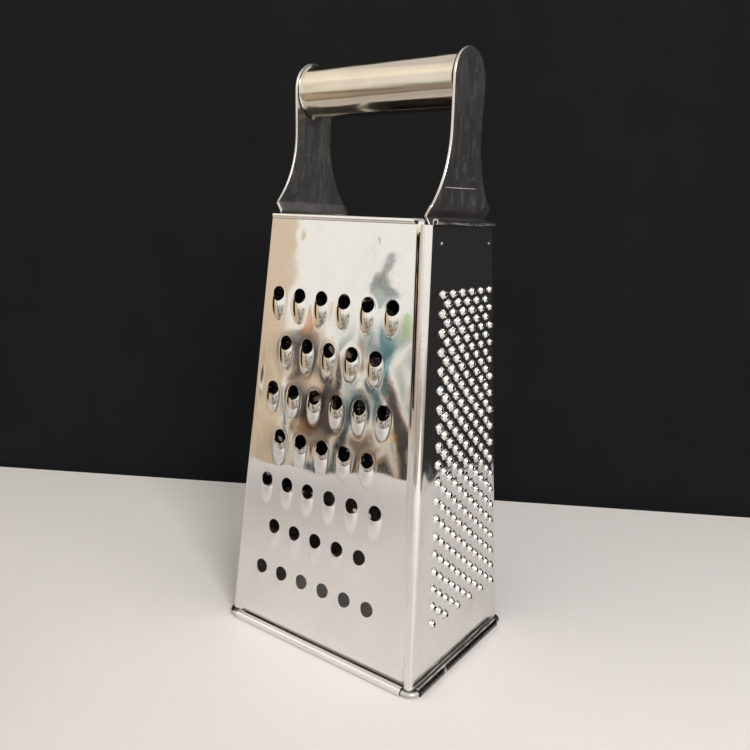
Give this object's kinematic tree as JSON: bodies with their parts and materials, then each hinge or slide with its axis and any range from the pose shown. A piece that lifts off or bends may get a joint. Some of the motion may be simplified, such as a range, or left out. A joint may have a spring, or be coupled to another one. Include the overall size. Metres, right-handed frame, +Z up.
{
  "type": "box grater",
  "caption": "Tapered box grater of thin polished sheet steel, a different cutting pattern on each wide and narrow face, with a tubular handle held between two straps.",
  "frame": {"origin": "middle of the footprint, on the surface the grater stands on", "axes": "+Z up, -Y out of the wide coarse face, +X out of the narrow rasp face"},
  "size_m": [0.1034, 0.0772, 0.24],
  "materials": {
    "panel_steel": "polished",
    "wire_steel": "drawn",
    "strap_steel": "polished",
    "tube_steel": "polished",
    "cup_steel": "plain"
  },
  "bodies": {
    "root": {"front_panel": "panel_steel", "right_panel": "panel_steel", "back_panel": "panel_steel", "left_panel": "panel_steel", "base_wire_ring": "wire_steel", "right_strap": "strap_steel", "left_strap": "strap_steel", "handle_tube": "tube_steel", "right_end_cup": "cup_steel", "left_end_cup": "cup_steel"}
  },
  "joints": []
}
